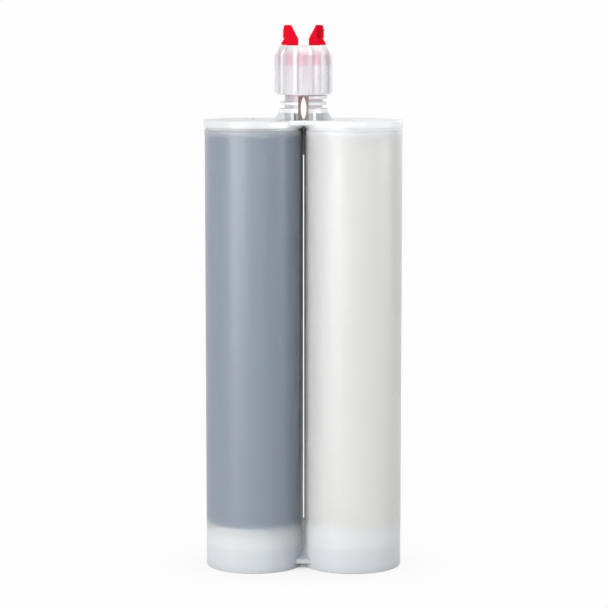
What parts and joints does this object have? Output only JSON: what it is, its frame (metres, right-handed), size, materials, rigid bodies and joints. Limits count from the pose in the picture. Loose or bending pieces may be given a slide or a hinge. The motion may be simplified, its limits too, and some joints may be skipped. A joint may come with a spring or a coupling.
{
  "type": "two part adhesive cartridge",
  "caption": "Side by side twin barrel cartridge for a two part adhesive, with sliding pistons, a twin outlet neck, a red closure plug and a ribbed retaining nut.",
  "frame": {"origin": "on the base plane, midway between the two barrels", "axes": "+Z towards the outlet neck, +X from the left barrel to the right barrel, +Y to the back"},
  "size_m": [0.086, 0.0432, 0.2349],
  "materials": {
    "cartridge_shell": "natural translucent polypropylene, satin",
    "paste_grey": "blue grey paste",
    "paste_white": "white paste",
    "piston_plastic": "natural white polyethylene, satin",
    "plug_plastic": "red polyethylene, glossy",
    "nut_plastic": "natural translucent polypropylene, slightly glossy"
  },
  "bodies": {
    "cartridge": {"cartridge_body": "cartridge_shell", "paste_grey": "paste_grey", "paste_white": "paste_white"},
    "left_piston": {"piston_left": "piston_plastic"},
    "right_piston": {"piston_right": "piston_plastic"},
    "closure_plug": {"plug": "plug_plastic"},
    "closure_nut": {"nut": "nut_plastic"}
  },
  "joints": [
    {"name": "piston_left_slide", "type": "slide", "parent": "cartridge", "child": "left_piston", "axis": [0, 0, 1], "range_m": [0, 0.1687], "deforming": ["paste_grey"]},
    {"name": "piston_right_slide", "type": "slide", "parent": "cartridge", "child": "right_piston", "axis": [0, 0, 1], "range_m": [0, 0.1687], "deforming": ["paste_white"]},
    {"name": "plug_lift", "type": "slide", "parent": "cartridge", "child": "closure_plug", "axis": [0, 0, 1], "range_m": [0, 0.017]},
    {"name": "nut_turn", "type": "hinge", "parent": "closure_plug", "child": "closure_nut", "pos_m": [0, 0, 0.2157], "axis": [0, 0, 1], "range_deg": [0, 1080]}
  ],
  "couplings": [
    {"joint": "plug_lift", "follows": "nut_turn", "m_per_rad": 0.00084352}
  ]
}
